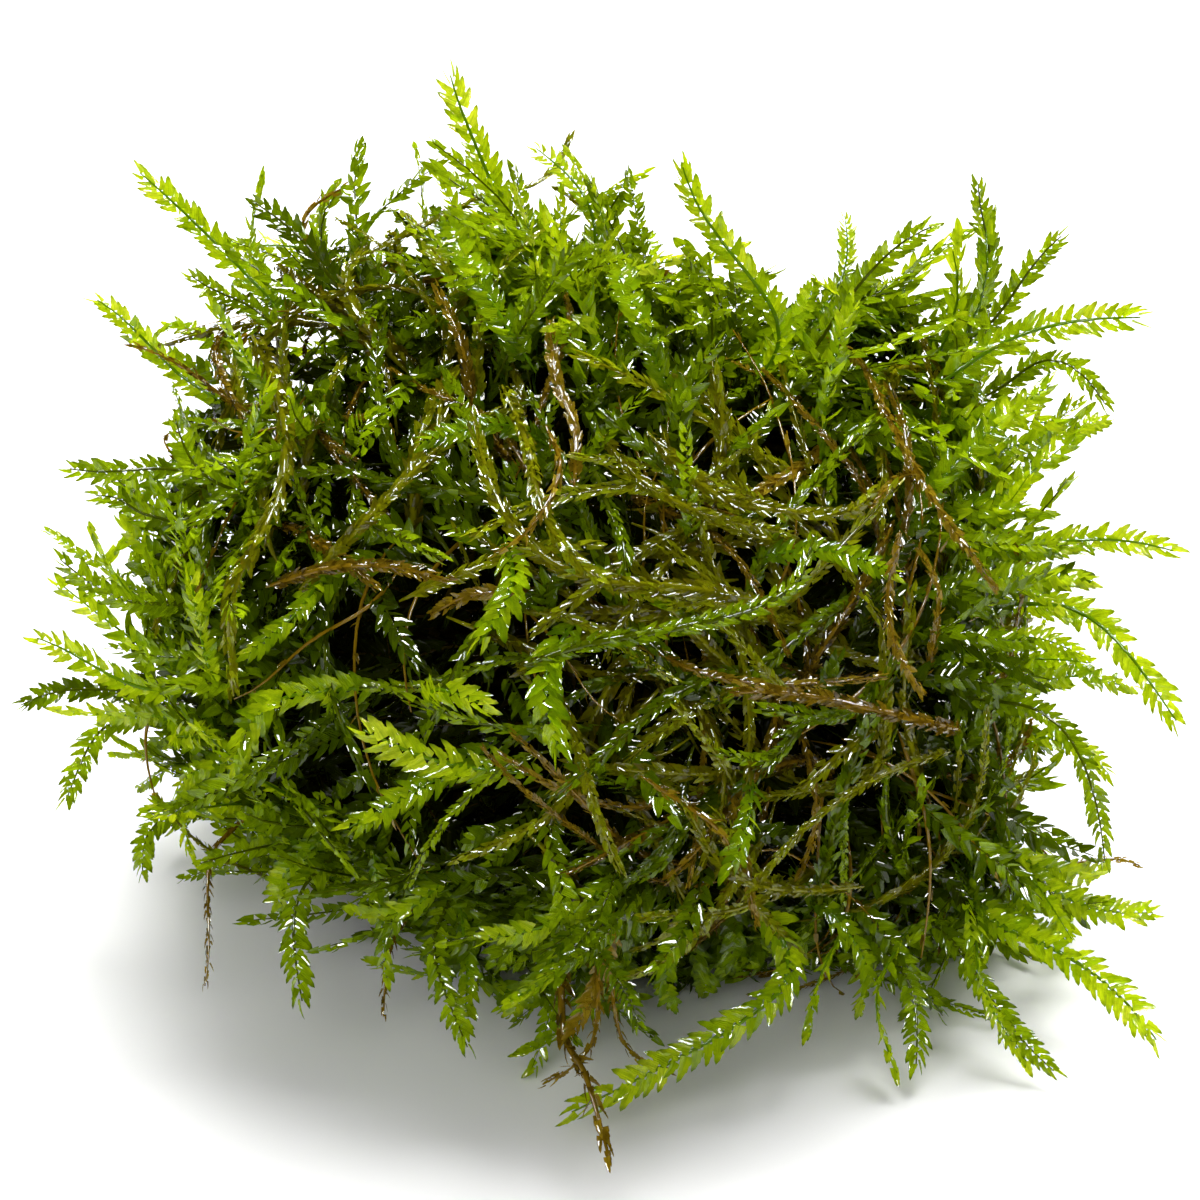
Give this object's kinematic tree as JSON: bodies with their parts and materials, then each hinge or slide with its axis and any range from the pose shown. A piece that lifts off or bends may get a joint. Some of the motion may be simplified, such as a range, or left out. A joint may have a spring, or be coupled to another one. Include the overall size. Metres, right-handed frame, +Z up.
{
  "type": "moss clump",
  "caption": "Rounded clump of wet creeping moss: a matted heart with a flat underside, old strands wound over it and flat leafy fronds standing out all round.",
  "frame": {"origin": "on the flat underside of the mat, at the point where the clump rests, below the heart of the mat", "axes": "+Z up out of the surface, -Y towards the front of the clump, +X towards its right, which is also its longest way"},
  "size_m": [0.0875, 0.0847, 0.0632],
  "materials": {
    "mat": "matted short shoots, wet, dark green to black in the gaps",
    "fresh": "fresh yellow-green leaves, wet, thin enough to let light through",
    "leaf": "mid green leaves, wet",
    "deep": "dark green older leaves, wet",
    "olive": "old olive shoots with leaves pressed to the stem, wet and glossy",
    "brown": "dead brown stems, wet",
    "orange": "orange-brown dying stems, wet"
  },
  "bodies": {
    "root": {"mat": "mat", "frond_crown": "fresh", "frond_crown_pale": "fresh", "frond_top_right": "fresh", "frond_saddle_small": "fresh", "frond_shoulder_arch": "leaf", "frond_right_upright": "leaf", "frond_right_upright_back": "leaf", "frond_right_slant": "leaf", "frond_right_big": "fresh", "frond_right_droop": "leaf", "frond_right_mid": "fresh", "frond_right_lower_big": "fresh", "frond_right_hang": "leaf", "frond_right_inner": "fresh", "frond_right_low": "fresh", "frond_right_floor": "fresh", "frond_front_floor_right": "leaf", "frond_front_floor": "leaf", "frond_front_low_left": "leaf", "frond_front_low": "deep", "frond_left_floor": "leaf", "frond_left_hang": "leaf", "frond_left_low": "deep", "frond_left_lower_tip": "leaf", "frond_left_a": "fresh", "frond_left_b": "leaf", "frond_left_c": "leaf", "frond_left_d": "leaf", "frond_left_up": "leaf", "frond_left_high": "fresh", "frond_left_higher": "leaf", "frond_left_long": "fresh", "frond_left_cluster": "deep", "frond_back_left": "fresh", "frond_back": "leaf", "frond_back_right": "leaf", "frond_back_low_left": "leaf", "frond_back_low_right": "fresh", "stalk_left_top": "orange", "stalk_left_fork": "brown", "stalk_left_low": "brown", "stalk_front_left": "brown", "stalk_right_low": "orange", "stalk_back": "brown", "frond_front_curl": "fresh", "twig_front": "brown", "strand_rope_left": "olive", "strand_rope_right": "leaf", "strand_cross_upper": "olive", "strand_orange_right": "orange", "strand_dead_top": "orange", "strand_brown_left": "brown", "strand_trunk_left": "olive", "strand_right_down": "orange", "strand_front_right": "brown", "strand_front_low": "olive", "strand_right_loop": "brown", "strand_back_high": "brown", "strand_back_low": "olive"}
  },
  "joints": []
}
